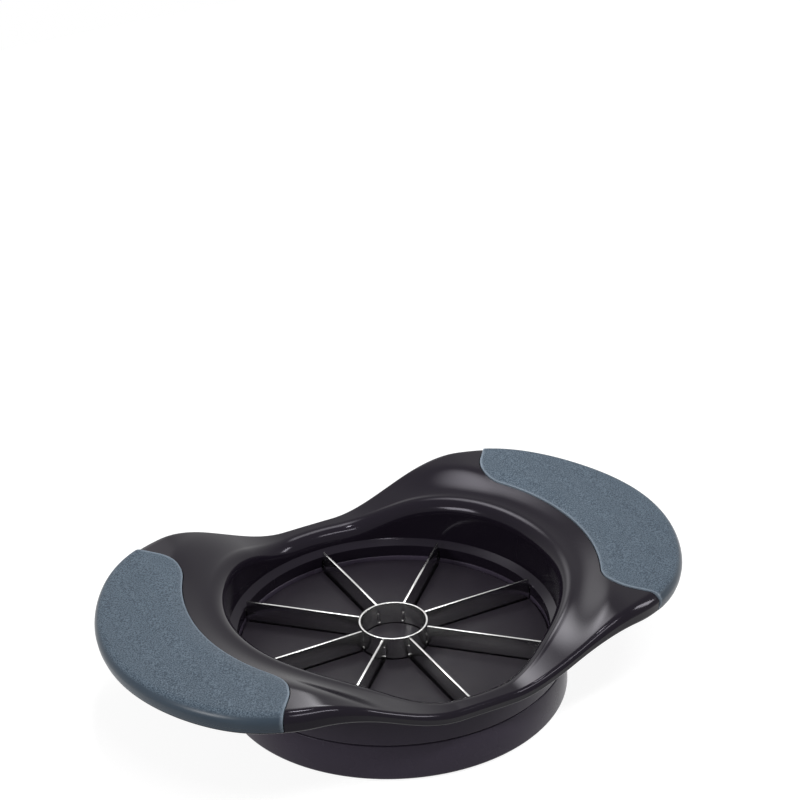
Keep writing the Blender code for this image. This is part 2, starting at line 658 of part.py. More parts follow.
def build_press_plate(group, cutters):
    """Plate with a pad for each wedge and one for the core, grooved for the blades and the ring."""
    core_pad = CORE_RADIUS - CORE_WALL - CLEARANCE
    first_pad = CORE_RADIUS + CLEARANCE
    shoulder = PAD_TOP - PAD_CHAMFER
    hub_low = PLATE_LOW - PLATE_RIB_HEIGHT
    hub_inner = PLATE_HUB_RADIUS - PLATE_HUB_WALL
    profile = ((0, PAD_TOP), (core_pad - PAD_CHAMFER, PAD_TOP), (core_pad, shoulder),
               (core_pad, PLATE_HIGH), (first_pad, PLATE_HIGH), (first_pad, shoulder),
               (first_pad + PAD_CHAMFER, PAD_TOP), (PAD_OUTER - PAD_CHAMFER, PAD_TOP),
               (PAD_OUTER, shoulder), (PAD_OUTER, PLATE_HIGH), (PLATE_RADIUS, PLATE_HIGH),
               (PLATE_RADIUS, PLATE_LOW), (PLATE_HUB_RADIUS, PLATE_LOW), (PLATE_HUB_RADIUS, hub_low),
               (hub_inner, hub_low), (hub_inner, PLATE_LOW), (0, PLATE_LOW))
    plate = turned("press_plate", profile, group, PLASTIC)
    groove = ((GROOVE_HALF, PLATE_HIGH), (GROOVE_HALF, shoulder),
              (GROOVE_HALF + PAD_CHAMFER + OVERRUN, PAD_TOP + OVERRUN))
    grooves = radial_prisms("pad_grooves", (core_pad + first_pad) / 2,
                            (PAD_OUTER + PLATE_RADIUS) / 2, groove, cutters)
    boolean(plate, grooves)
    rib_end = BORE_RADIUS - LEDGE_WIDTH - CLEARANCE
    ribs = radial_prisms("plate_ribs", PLATE_HUB_RADIUS - PLATE_HUB_WALL / 2, rib_end,
                         ((PLATE_RIB_THICKNESS / 2, hub_low + EMBED),
                          (PLATE_RIB_THICKNESS / 2, PLATE_LOW + EMBED)), cutters)
    boolean(plate, ribs, "UNION")
    return plate


def build():
    clear_scene()
    group = new_collection("fruit_wedger_press")
    cutters = new_collection("cutters")

    axis = bpy.data.objects.new("press_slide_axis", None)
    group.objects.link(axis)
    axis.location.z = SEAM_HEIGHT

    moving = [build_frame(group, cutters)]
    moving += [build_grip("left_grip", -1, group, cutters), build_grip("right_grip", 1, group, cutters)]
    moving += build_blades(group)
    moving += [build_core_cutter(group, cutters), build_clamp_ring(group, cutters)]
    for item in moving:
        item.parent = axis
        item.location.z = -axis.location.z
    build_base(group)
    build_press_plate(group, cutters)


build()
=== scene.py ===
# %% [markdown]
# # A fruit wedger press, modelled in Blender
#
# The press is a black moulded frame with two soft grips. Eight blades and a core ring are held in
# its round opening, and it stands on a low drum with raised pads. You set a fruit on the blades and
# push both wings down: the blades cut it into eight wedges and a core, and the pads push them clear.
#
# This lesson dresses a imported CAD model. The CAD nodes give every size and place, and each one is
# replaced by a finer piece of the same shape, because its flat facets would show in the gloss.

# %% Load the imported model
from math import asin, atan2, copysign, cos, pi, radians, sin, sqrt

import bmesh
import bpy
from mathutils import Matrix, Vector
from mathutils.kdtree import KDTree


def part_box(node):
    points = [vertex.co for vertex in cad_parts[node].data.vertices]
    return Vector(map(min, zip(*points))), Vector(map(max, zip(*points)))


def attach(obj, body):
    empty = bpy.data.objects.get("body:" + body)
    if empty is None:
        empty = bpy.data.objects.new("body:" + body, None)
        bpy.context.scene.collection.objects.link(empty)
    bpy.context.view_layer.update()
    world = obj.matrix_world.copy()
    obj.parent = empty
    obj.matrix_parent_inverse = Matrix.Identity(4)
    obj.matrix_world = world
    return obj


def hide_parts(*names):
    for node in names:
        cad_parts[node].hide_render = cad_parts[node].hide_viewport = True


MM = 0.001

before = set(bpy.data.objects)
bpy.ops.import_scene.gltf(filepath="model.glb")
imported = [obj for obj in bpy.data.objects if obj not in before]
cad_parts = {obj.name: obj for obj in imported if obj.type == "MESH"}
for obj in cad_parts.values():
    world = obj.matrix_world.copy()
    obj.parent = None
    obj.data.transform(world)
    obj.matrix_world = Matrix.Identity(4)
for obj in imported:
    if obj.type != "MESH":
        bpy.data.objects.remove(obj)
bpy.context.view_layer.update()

# %% [markdown]
# ## Camera
#
# The camera comes first, so every later step can be looked at from the same place. A long lens far
# away keeps the two wings almost equal in size. The press stands low in the picture, so the camera
# is moved up along its own upright axis and nothing needs a lens shift.

# %% Camera
CAMERA_TURN = radians(26.91)  # round from the Y axis
CAMERA_RAISE = radians(27.92)  # above the table
CAMERA_ROLL = radians(-2.25)
CAMERA_DISTANCE = 0.8789
CAMERA_MOVE_ACROSS = 0.0013
CAMERA_MOVE_UP = 0.0887
LENS_MM = 125.4
SENSOR_MM = 36.0
CLIP_START = 0.01


def add_object(name, data):
    made = bpy.data.objects.new(name, data)
    bpy.context.collection.objects.link(made)
    return made


def set_camera():
    forward = Vector((sin(CAMERA_TURN) * cos(CAMERA_RAISE),
                      cos(CAMERA_TURN) * cos(CAMERA_RAISE), -sin(CAMERA_RAISE)))
    right = Vector((cos(CAMERA_TURN), -sin(CAMERA_TURN), 0))
    up = right.cross(forward)
    roll = Matrix.Rotation(CAMERA_ROLL, 3, -forward)
    right = roll @ right
    up = roll @ up
    place = right * CAMERA_MOVE_ACROSS + up * CAMERA_MOVE_UP - forward * CAMERA_DISTANCE
    axes = Matrix((right, up, -forward)).transposed()
    camera = add_object("camera", bpy.data.cameras.new("camera"))
    camera.matrix_world = Matrix.LocRotScale(place, axes.to_quaternion(), None)
    camera.data.lens = LENS_MM
    camera.data.sensor_width = SENSOR_MM
    camera.data.clip_start = CLIP_START
    bpy.context.scene.camera = camera
    return camera


camera = set_camera()
print("camera at", [round(value, 3) for value in camera.location])

# %% [markdown]
# ## Sizes
#
# The overall sizes are read from the boxes of the CAD nodes. The rest are named sizes of the same
# moulding: wall, roundings, the rise of the saddle and the borders of the grips. All are in metres.

# %% Sizes read from the frame
grip_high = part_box("right_grip")[1]
frame_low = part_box("frame_body")[0]
drum_low, drum_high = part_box("base_body")
plate_low, plate_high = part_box("press_plate")
blade_low, blade_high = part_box("blade_1")
core_low, core_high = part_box("core_cutter")
clamp_low, clamp_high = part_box("blade_clamp_ring")
ring_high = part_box("non_slip_ring")[1]

CLEARANCE = 0.0003  # gap between pieces that seat on each other
WALL = 0.0025
GRIP_PROUD = 0.0003  # grips stand this far above the frame's skin

SKIRT_RADIUS = drum_high.x
BORE_RADIUS = SKIRT_RADIUS - WALL
SKIRT_LOW = frame_low.z
HALF_LENGTH = grip_high.x - GRIP_PROUD
WING_HEIGHT = grip_high.z - GRIP_PROUD
print("bore in mm:", round(2 * BORE_RADIUS / MM, 1), "wings in mm:", round(WING_HEIGHT / MM, 1))

# %% Sizes of the frame's moulding
LIP_ROUND = 0.005  # rounding from the deck into the funnel
LIP_REACH = BORE_RADIUS + LIP_ROUND
WAIST_DECK = 0.0042  # width of the deck at the waist
HALF_WIDTH = LIP_REACH + WAIST_DECK
SADDLE_RISE = 0.0137  # from the waist to the wings
WAIST_HEIGHT = WING_HEIGHT - SADDLE_RISE
OUTLINE_POWER = 8.6  # how tightly the wings' ends turn into the waist's sides
SADDLE_START = 0.0089  # from the middle, where the deck starts to rise
SADDLE_RUN = 0.0451
DROOP = 0.0012  # the wings' tips fall again
DROOP_START = 0.057
DROOP_RUN = 0.035
DIP_DEPTH = 0.0033  # the wings dip towards the opening
DIP_START = 0.027
DIP_RUN = 0.027
DIP_REACH = 0.0132
SIDE_WAIST = 0.0042  # height of the edge at the waist
SIDE_WING = 0.0066  # and at the wings
SIDE_START = 0.030
SIDE_RUN = 0.030
EDGE_ROUND_WAIST = 0.0015
EDGE_ROUND_WING = 0.0028
SIDE_DRAFT = 0.0016  # the edge comes in this far at its foot
SIDE_LEAN = 0.0004  # how much of that lies above the rolled foot
FOOT_ROUND = SIDE_DRAFT - SIDE_LEAN
GRIP_DEPTH = 0.002  # the part of a grip below the frame's skin
POCKET = GRIP_DEPTH + CLEARANCE
THICK_START = 0.036
THICK_RUN = 0.016
SEAT_STEP = 0.0026  # how far the blades' seat stands into the bore
SEAT_RADIUS = BORE_RADIUS - SEAT_STEP
SEAT_LOW = clamp_high.z + CLEARANCE
SEAT_THICKNESS = 0.0036
SEAT_HIGH = SEAT_LOW + SEAT_THICKNESS
SEAT_SLOPE = 0.0014
SEAM_ROUND = 0.0004

# %% [markdown]
# ## Helpers for shapes
#
# Four small helpers do most of the work. One stores a bmesh as a finished piece: its object stays
# at the origin, its faces point out, and edges sharper than a set angle stay crisp. One spins an
# outline about the Z axis, which is how every round piece starts, and one grows a flat face into a
# slab. One carves a piece with another by a Boolean and deletes the tool, because a tool is no
# piece of the press.

# %% Helpers for shapes
SHARP_ANGLE = radians(34)
ROUND_STEPS = 288
WELD = 0.00001


def shade(mesh):
    mesh.shade_smooth()
    mesh.set_sharp_from_angle(angle=SHARP_ANGLE)


def new_object(name, bm):
    """Store a bmesh as a smooth piece whose sharp edges stay crisp."""
    bmesh.ops.recalc_face_normals(bm, faces=bm.faces)
    mesh = bpy.data.meshes.new(name)
    bm.to_mesh(mesh)
    bm.free()
    shade(mesh)
    return add_object(name, mesh)


def carve(piece, tool, operation="DIFFERENCE"):
    """Cut a tool out of a piece, or join it on, and delete the tool."""
    modifier = piece.modifiers.new("carve", "BOOLEAN")
    modifier.operation = operation
    modifier.object = tool
    modifier.solver = "EXACT"
    depsgraph = bpy.context.evaluated_depsgraph_get()
    result = bpy.data.meshes.new_from_object(piece.evaluated_get(depsgraph))
    piece.modifiers.clear()
    old = piece.data
    piece.data = result
    bpy.data.meshes.remove(old)
    result.name = piece.name
    shade(result)
    bpy.data.objects.remove(tool, do_unlink=True)


def stands_for(piece, body, slot, *nodes):
    """Let a piece ride on a body in place of its CAD nodes."""
    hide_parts(*nodes)
    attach(piece, body)
    print(piece.name, "rides on", body, "with", len(piece.data.polygons), "faces")


# %% Solids from outlines
def spun(outline):
    """Spin an outline of (radius, height) points about Z; one that starts on the axis stays open."""
    bm = bmesh.new()
    points = [bm.verts.new((radius, 0, height)) for radius, height in outline]
    for first, second in zip(points, points[1:]):
        bm.edges.new((first, second))
    if outline[0][0] > 0:
        bm.edges.new((points[-1], points[0]))
    bmesh.ops.spin(bm, geom=bm.verts[:] + bm.edges[:], cent=(0, 0, 0), axis=(0, 0, 1),
                   angle=2 * pi, steps=ROUND_STEPS, use_merge=True)
    bmesh.ops.remove_doubles(bm, verts=bm.verts, dist=WELD)
    bmesh.ops.recalc_face_normals(bm, faces=bm.faces)
    return bm


def slab(corners, growth):
    """A flat face with these corners, grown along a vector into a solid."""
    bm = bmesh.new()
    face = bm.faces.new([bm.verts.new(corner) for corner in corners])
    grown = bmesh.ops.extrude_face_region(bm, geom=[face])["geom"]
    moved = [item for item in grown if isinstance(item, bmesh.types.BMVert)]
    bmesh.ops.translate(bm, verts=moved, vec=growth)
    return bm


def round_edges(bm, size, segments=3, least=40, chosen=lambda edge: True):
    """Bevel the edges that turn by more than a number of degrees."""
    edges = [edge for edge in bm.edges if edge.is_manifold and chosen(edge)
             and edge.calc_face_angle() > radians(least)]
    bmesh.ops.bevel(bm, geom=edges, offset=size, offset_type="OFFSET", affect="EDGES",
                    segments=segments, profile=0.5, clamp_overlap=True, material=-1)


# %% Bars that stand like the blades
BLADE_COUNT = 8


def blade_turn(number):
    return Matrix.Rotation(2 * pi * number / BLADE_COUNT, 3, "Z")


def radial_bars(inner, outer, half, low, high):
    """Eight upright bars, one along each blade, as one tool."""
    bm = bmesh.new()
    middle = Vector(((inner + outer) / 2, 0, (low + high) / 2))
    size = Vector((outer - inner, half * 2, high - low))
    for number in range(BLADE_COUNT):
        bar = bmesh.ops.create_cube(bm, size=1)["verts"]
        bmesh.ops.scale(bm, vec=size, verts=bar)
        bmesh.ops.translate(bm, vec=middle, verts=bar)
        bmesh.ops.rotate(bm, verts=bar, cent=(0, 0, 0), matrix=blade_turn(number))
    return new_object("bars", bm)


# %% [markdown]
# ## The saddle
#
# The frame is one moulding: a deck that rises in a saddle to two wings, a rounded lip into the
# funnel, a skirt below, and hollow undersides. Its section changes all the way round, so a plain
# spin can't make it. The trick here is to spin a ring of vertices into a closed tube, which gives
# the faces, and then to send each vertex to its own place on a section worked out by formula.

# %% The deck's height and the outline
def smooth_share(value):
    """A share from 0 to 1 that leaves and arrives level."""
    value = min(max(value, 0.0), 1.0)
    return value * value * (3 - 2 * value)


def between(distance, start, run, first, last):
    return first + (last - first) * smooth_share((abs(distance) - start) / run)


def outline_edge(angle):
    """Point of the frame's outline in plan at a polar angle, and its outward normal.

    The wing's end is a bow as round as the half width, and blends into the straight side.
    """
    cosine, sine = cos(angle), sin(angle)
    bow = HALF_LENGTH * sine ** 2 / HALF_WIDTH
    root = sqrt(cosine ** 2 + 2 * bow)
    end = (abs(cosine) + root) / (2 * HALF_LENGTH)
    side = abs(sine) / HALF_WIDTH
    radius = (end ** OUTLINE_POWER + side ** OUTLINE_POWER) ** (-1 / OUTLINE_POWER)
    end_pull = (radius * end) ** (OUTLINE_POWER - 1)
    side_pull = (radius * side) ** (OUTLINE_POWER - 1) / HALF_WIDTH
    slope_x = end_pull * (1 + abs(cosine) / root) / (2 * HALF_LENGTH)
    slope_y = end_pull * abs(sine) / (HALF_WIDTH * root) + side_pull
    normal = Vector((copysign(slope_x, cosine), copysign(slope_y, sine))).normalized()
    return Vector((radius * cosine, radius * sine)), normal


def deck_height(plan):
    """Top of the frame: a saddle that rises to the wings, droops at their tips and dips inside."""
    saddle = between(plan.x, SADDLE_START, SADDLE_RUN, WAIST_HEIGHT, WING_HEIGHT)
    droop = between(plan.x, DROOP_START, DROOP_RUN, 0.0, DROOP)
    dip = between(plan.x, DIP_START, DIP_RUN, 0.0, DIP_DEPTH)
    fade = 1 - smooth_share((plan.length - LIP_REACH) / DIP_REACH)
    return saddle - droop - dip * fade


def edge_sizes(edge):
    """Side height, edge rounding and wall thickness at a point of the outline."""
    side = between(edge.x, SIDE_START, SIDE_RUN, SIDE_WAIST, SIDE_WING)
    rounding = between(edge.x, SIDE_START, SIDE_RUN, EDGE_ROUND_WAIST, EDGE_ROUND_WING)
    wall = between(edge.x, THICK_START, THICK_RUN, WALL, WALL + POCKET)
    return side, rounding, wall


def at(plan, height):
    return Vector((plan.x, plan.y, height))


def heading(angle):
    return Vector((cos(angle), sin(angle)))


def quarter(steps, power=1.0):
    """The sines and cosines of a quarter turn in even steps; a power over 1 flattens its middle."""
    turns = [pi / 2 * k / steps for k in range(steps + 1)]
    return [(sin(turn) ** power, max(cos(turn), 0.0) ** power) for turn in turns]


def side_inset(height, foot, top):
    """How far the side has come in at a height: it leans a little, then rolls under at its foot."""
    roll_top = foot + FOOT_ROUND
    lean = SIDE_LEAN * min((top - height) / (top - roll_top), 1.0)
    below = max(roll_top - height, 0.0)
    return lean + FOOT_ROUND - sqrt(FOOT_ROUND ** 2 - below ** 2)


# %% One section of the frame
FOOT_STEPS = 3
ROLL_STEPS = 6
EDGE_STEPS = 12
EDGE_FLATNESS = 1.35  # the rim's rounding is nearly a bevel, which catches the light
DECK_STEPS = 20
LIP_STEPS = 14
FILLET_STEPS = 6
UNDER_STEPS = 8
SIDE_SHARES = (0.08, 0.5, 0.92)


def edge_part(edge, normal, side, rounding):
    """From the rolled foot up the side and over the rounded edge."""
    foot = deck_height(edge) - side
    top = deck_height(edge) - rounding
    points = [at(edge - normal * (SIDE_LEAN + FOOT_ROUND * (1 - sine)), foot + FOOT_ROUND * (1 - cosine))
              for sine, cosine in quarter(ROLL_STEPS)]
    low = points[-1]
    points += [low.lerp(at(edge, top), share) for share in SIDE_SHARES]
    for sine, cosine in quarter(EDGE_STEPS, EDGE_FLATNESS):
        plan = edge - normal * rounding * (1 - cosine)
        points.append(at(plan, deck_height(plan) - rounding * (1 - sine)))
    return points


def deck_part(rim, lip):
    """Across the deck to the lip, and over its rounding down into the funnel."""
    plans = [rim.lerp(lip, k / DECK_STEPS) for k in range(1, DECK_STEPS)]
    points = [at(plan, deck_height(plan)) for plan in plans]
    outward = lip.normalized()
    for sine, cosine in quarter(LIP_STEPS):
        plan = outward * (BORE_RADIUS + LIP_ROUND * (1 - sine))
        points.append(at(plan, deck_height(lip) - LIP_ROUND * (1 - cosine)))
    return points


def skirt_part(outward):
    """Down the funnel, round the blade seat and the skirt's lower edge."""
    outline = [(BORE_RADIUS, SEAT_HIGH + SEAT_SLOPE), (SEAT_RADIUS, SEAT_HIGH),
               (SEAT_RADIUS, SEAT_LOW), (BORE_RADIUS, SEAT_LOW), (BORE_RADIUS, SKIRT_LOW)]
    outline += [(SKIRT_RADIUS - SEAM_ROUND * (1 - sine), SKIRT_LOW + SEAM_ROUND * (1 - cosine))
                for sine, cosine in quarter(FOOT_STEPS)]
    return [at(outward * radius, height) for radius, height in outline]


def under_part(edge, normal, lip, wall, foot):
    """Up the outside of the skirt and out along the hollow underside."""
    outward = lip.normalized()
    fillet = LIP_ROUND - WALL
    centre = deck_height(lip) - LIP_ROUND - (wall - WALL)
    points = [at(outward * (LIP_REACH - fillet * cosine), centre + fillet * sine)
              for sine, cosine in quarter(FILLET_STEPS)]
    inside = edge - normal * (wall + SIDE_DRAFT)
    for k in range(1, UNDER_STEPS + 1):
        plan = lip.lerp(inside, k / UNDER_STEPS)
        points.append(at(plan, deck_height(plan) - wall))
    points.append(at(inside, foot))
    return points


def frame_section(angle):
    edge, normal = outline_edge(angle)
    side, rounding, wall = edge_sizes(edge)
    outward = heading(angle)
    lip = outward * LIP_REACH
    points = edge_part(edge, normal, side, rounding)
    points += deck_part(edge - normal * rounding, lip)
    points += skirt_part(outward)
    points += under_part(edge, normal, lip, wall, deck_height(edge) - side)
    return points


print("points in one section:", len(frame_section(0)))

# %% Send a spun tube to its sections
TUBE_RADIUS = 0.01
TUBE_REACH = 0.05


def swept(sections, turn):
    """Spin a ring of vertices, then move each ring of it to the next section."""
    bm = bmesh.new()
    place = bm.verts.layers.int.new("place")
    closed = turn == 2 * pi
    steps = len(sections) if closed else len(sections) - 1
    ring = bmesh.ops.create_circle(bm, segments=len(sections[0]), radius=TUBE_RADIUS)["verts"]
    for k, vert in enumerate(ring):
        vert[place] = k
    bmesh.ops.rotate(bm, verts=ring, cent=(0, 0, 0), matrix=Matrix.Rotation(pi / 2, 3, "X"))
    bmesh.ops.translate(bm, verts=ring, vec=(TUBE_REACH, 0, 0))
    bmesh.ops.spin(bm, geom=bm.verts[:] + bm.edges[:], cent=(0, 0, 0), axis=(0, 0, 1),
                   angle=turn, steps=steps, use_merge=closed)
    for vert in bm.verts:
        angle = atan2(vert.co.y, vert.co.x)
        step = round(angle / turn * steps) % round(2 * pi / turn * steps)
        vert.co = sections[step][vert[place]]
    if not closed:
        ends = [edge for edge in bm.edges if edge.is_boundary]
        bmesh.ops.holes_fill(bm, edges=ends, sides=0)
    return bm


# %% [markdown]
# ## The grips
#
# The grips are soft crescents moulded over the wings. The inner border of each is an arc round the
# opening that runs into a rounded lobe at either end, and the outer border is the frame's own edge.
# A grip is swept the same way as the frame, along stations from one end to the other. The pocket in
# the frame is the same shape, grown by the clearance, so both come from one function. Along its
# border the real grip has a thin rounded bead. Each point stores how much it belongs to that bead,
# so that the finish can paint a lighter line there, a painted highlight in place of the bead's shine.

# %% Sizes of the grips
BARE_DECK = 0.0081  # width of the deck between the lip and a grip
GRIP_INNER_RADIUS = LIP_REACH + BARE_DECK
GRIP_WIDTH = HALF_LENGTH - GRIP_INNER_RADIUS
LOBE_SIZE_SHARE = 0.353
GRIP_LOBE_RADIUS = sqrt(GRIP_WIDTH * HALF_WIDTH) * LOBE_SIZE_SHARE
GRIP_LOBE_REACH = GRIP_INNER_RADIUS + GRIP_LOBE_RADIUS
LOBE_PLACE_SHARE = 0.735  # of the bore's radius, from the middle to a lobe along Y
GRIP_LOBE_ANGLE = asin(BORE_RADIUS * LOBE_PLACE_SHARE / GRIP_LOBE_REACH)
GRIP_LOBE_SWEEP = radians(66)
GRIP_FOOT = 0.0008  # strip of frame left bare below the grip
GRIP_BAND_SHARE = 0.38  # smooth band at the foot of the upright side
GRIP_STEP = 0.0003  # how far that band is set back
GRIP_ROUND = 0.0004
# GRIP_BEAD is also the width of the highlight painted along the border.
GRIP_BEAD = 0.0007  # width of the thin bead along the border
OVERRUN = 0.001  # a cut runs this far past the face that it opens
GRIP_STATIONS = 120
GRIP_TOP_STEPS = 18
CLOSE_STEPS = 40


# %% Borders of a grip
def grip_inner(station, grow):
    """Inner border of the right grip at a station from -1 to 1, and its direction there."""
    hollow = GRIP_INNER_RADIUS * GRIP_LOBE_ANGLE
    travel = abs(station) * (hollow + GRIP_LOBE_RADIUS * GRIP_LOBE_SWEEP)
    if travel <= hollow:
        angle = travel / GRIP_INNER_RADIUS
        point = heading(angle) * (GRIP_INNER_RADIUS - grow)
        run = Vector((-sin(angle), cos(angle)))
    else:
        angle = GRIP_LOBE_ANGLE + pi - (travel - hollow) / GRIP_LOBE_RADIUS
        centre = heading(GRIP_LOBE_ANGLE) * GRIP_LOBE_REACH
        point = centre + heading(angle) * (GRIP_LOBE_RADIUS + grow)
        run = Vector((sin(angle), -cos(angle)))
    if station < 0:
        point.y = -point.y
        run.y = -run.y
    return point, run


def grip_end_angle(grow):
    """Polar angle where the straight run past a grip's lobe meets the outline, found by halving."""
    start, run = grip_inner(1.0, grow)
    near, far = 0.0, HALF_WIDTH
    for _ in range(CLOSE_STEPS):
        middle = (near + far) / 2
        point = start + run * middle
        edge, _ = outline_edge(atan2(point.y, point.x))
        if point.length < edge.length:
            near = middle
        else:
            far = middle
    point = start + run * near
    return atan2(point.y, point.x)


# %% One section of a grip
def grip_skin(border, edge, normal, lift):
    """Points over the deck and round the edge, lifted off the frame's skin by a distance."""
    _, rounding, _ = edge_sizes(edge)
    across = (edge - border).normalized()
    stretch = 1 / across.dot(normal)
    centre = edge - across * rounding * stretch
    bead_share = GRIP_BEAD / (centre - border).length
    shares = sorted([bead_share] + [k / GRIP_TOP_STEPS for k in range(GRIP_TOP_STEPS)])
    plans = [border.lerp(centre, share) for share in shares]
    points = [at(plan, deck_height(plan) + lift) for plan in plans]
    for sine, cosine in quarter(EDGE_STEPS):
        plan = centre + across * (rounding + lift) * stretch * sine
        points.append(at(plan, deck_height(plan) - rounding + (rounding + lift) * cosine))
    return points


def side_point(edge, across, normal, height, lift):
    """Point on the frame's side, lifted off it by a distance."""
    side, rounding, _ = edge_sizes(edge)
    top = deck_height(edge) - rounding
    foot = deck_height(edge) - side
    return at(edge + across * (lift - side_inset(height, foot, top)) / across.dot(normal), height)


def grip_section(station, end_angle, grow, top, depth, step):
    border, _ = grip_inner(station, grow)
    edge, normal = outline_edge(station * end_angle)
    across = (edge - border).normalized()
    side, rounding, _ = edge_sizes(edge)
    foot = deck_height(edge) - side + GRIP_FOOT - grow
    band = foot + (side - rounding - GRIP_FOOT) * GRIP_BAND_SHARE
    points = grip_skin(border, edge, normal, top)
    down = [(band + step, top), (band, top - step)] if step > 0 else []
    down += [(foot, top - step), (foot, -depth)]
    points += [side_point(edge, across, normal, height, lift) for height, lift in down]
    points += reversed(grip_skin(border, edge, normal, -depth))
    return points


def grip_shape(hand, grow, top, depth, step):
    """A grip, or the pocket that takes it, as a bmesh; hand is 1 for the right and -1 for the left."""
    end_angle = grip_end_angle(grow)
    stations = [2 * k / GRIP_STATIONS - 1 for k in range(GRIP_STATIONS + 1)]
    sections = [grip_section(station, end_angle, grow, top, depth, step) for station in stations]
    bm = swept(sections, pi)
    bmesh.ops.scale(bm, vec=(hand, 1, 1), verts=bm.verts)
    bmesh.ops.recalc_face_normals(bm, faces=bm.faces)
    return bm


# %% Pegs that lock the grips
PEG_RADIUS = 0.003
PEG_PLACE_SHARE = 0.44  # of the grip's width
PEG_PLACE_RADIUS = GRIP_INNER_RADIUS + GRIP_WIDTH * PEG_PLACE_SHARE
PEG_ANGLES = (-22.5, 0.0, 22.5)
PEG_PROUD = 0.0006
PEG_ROOT = 0.0005
PEG_SIDES = 48


def pins(hand, radius, low, high):
    """Three upright pins under a grip, between two heights measured from the deck."""
    bm = bmesh.new()
    for degrees in PEG_ANGLES:
        angle = radians(degrees)
        plan = Vector((hand * cos(angle), sin(angle))) * PEG_PLACE_RADIUS
        deck = deck_height(plan)
        pin = bmesh.ops.create_cone(bm, cap_ends=True, segments=PEG_SIDES, radius1=radius,
                                    radius2=radius, depth=high - low)["verts"]
        bmesh.ops.translate(bm, verts=pin, vec=at(plan, deck + (high + low) / 2))
    return new_object("pins", bm)


# %% Ribs under the wings
RIB_ANGLES = (12, 33, 147, 168, 192, 213, 327, 348)
RIB_THICKNESS = 0.0018
RIB_DEPTH = 0.0043


def wing_rib(degrees):
    """An upright rib under a wing, from the skirt out to the side wall."""
    angle = radians(degrees)
    edge, _ = outline_edge(angle)
    outward = heading(angle)
    across = Vector((-outward.y, outward.x, 0)) * RIB_THICKNESS
    side, _, wall = edge_sizes(edge)
    under = deck_height(edge) - WALL - POCKET + PEG_ROOT
    tip = edge.length - POCKET - WALL / 2
    foot = deck_height(edge) - side + FOOT_ROUND
    root = (BORE_RADIUS + SKIRT_RADIUS) / 2
    lip_under = deck_height(outward * LIP_REACH) - wall
    outline = ((root, lip_under - RIB_DEPTH), (root, lip_under - LIP_ROUND / 2),
               (LIP_REACH, lip_under + WALL / 2), (LIP_REACH + DIP_REACH, under), (tip, under),
               (tip, foot))
    corners = [at(outward * radius, height) - across / 2 for radius, height in outline]
    return new_object("rib", slab(corners, across))


# %% Make the frame
AROUND = 360
SLOT_HALF = blade_high.y + CLEARANCE
TAB_RISE = 0.0021  # how far the blades' outer tabs reach up into the seat
TAB_HIGH = SEAT_LOW + TAB_RISE


def make_frame():
    sections = [frame_section(2 * pi * k / AROUND) for k in range(AROUND)]
    piece = new_object("moulded_frame", swept(sections, 2 * pi))
    for degrees in RIB_ANGLES:
        carve(piece, wing_rib(degrees), "UNION")
    for hand in (-1, 1):
        carve(piece, new_object("pocket", grip_shape(hand, CLEARANCE, OVERRUN, POCKET, 0)))
        carve(piece, pins(hand, PEG_RADIUS + CLEARANCE, -WALL - POCKET - OVERRUN, OVERRUN))
    carve(piece, radial_bars(SEAT_RADIUS - OVERRUN, clamp_high.x, SLOT_HALF, SEAT_LOW - OVERRUN,
                             TAB_HIGH + CLEARANCE))
    return piece


moulded_frame = make_frame()
stands_for(moulded_frame, "cutter", "frame_plastic", "frame_body")


# %% Mark where a highlight is painted along a grip's border
BEAD_SAMPLES = 600  # along the inner border, and along the straight run at each end
END_SAMPLES = 150


def mark_painted_highlight(piece, hand):
    """Store on each point how much of the painted highlight it takes: 1 at the border, 0 past the bead's
    width.
    """
    border = [grip_inner(2 * k / BEAD_SAMPLES - 1, 0.0)[0] for k in range(BEAD_SAMPLES + 1)]
    end_angle = grip_end_angle(0.0)
    for end in (-1, 1):
        start, _ = grip_inner(end, 0.0)
        finish, _ = outline_edge(end * end_angle)
        border += [start.lerp(finish, k / END_SAMPLES) for k in range(END_SAMPLES)]
    tree = KDTree(len(border))
    for k, point in enumerate(border):
        tree.insert((hand * point.x, point.y, 0), k)
    tree.balance()
    painted_highlight = piece.data.attributes.new("painted_highlight", "FLOAT", "POINT")
    for vert, mark in zip(piece.data.vertices, painted_highlight.data):
        distance = tree.find((vert.co.x, vert.co.y, 0))[2]
        mark.value = min(max((GRIP_BEAD - distance) / (GRIP_BEAD - GRIP_ROUND), 0.0), 1.0)


# %% Make the grips
def make_grip(name, hand):
    bm = grip_shape(hand, 0.0, GRIP_PROUD, GRIP_DEPTH, GRIP_STEP)
    round_edges(bm, GRIP_ROUND, segments=4, least=60)
    piece = new_object(name, bm)
    carve(piece, pins(hand, PEG_RADIUS, -WALL - POCKET - PEG_PROUD, PEG_ROOT - GRIP_DEPTH), "UNION")
    mark_painted_highlight(piece, hand)
    return piece


grips = [make_grip("soft_grip_left", -1), make_grip("soft_grip_right", 1)]
stands_for(grips[0], "cutter", "grip_rubber", "left_grip")
stands_for(grips[1], "cutter", "grip_rubber", "right_grip")

# %% [markdown]
# ## The blades
#
# Each blade is a thin strip of stainless steel, punched from sheet and ground to an edge along its
# lower side. A tab at each end locks it: the outer one between frame and clamp ring, the inner one
# in the core ring. The blade is one flat face, extruded to its thickness, cut across where the
# grind starts, and pinched below that line. Its UV map holds the distance along and up the blade.

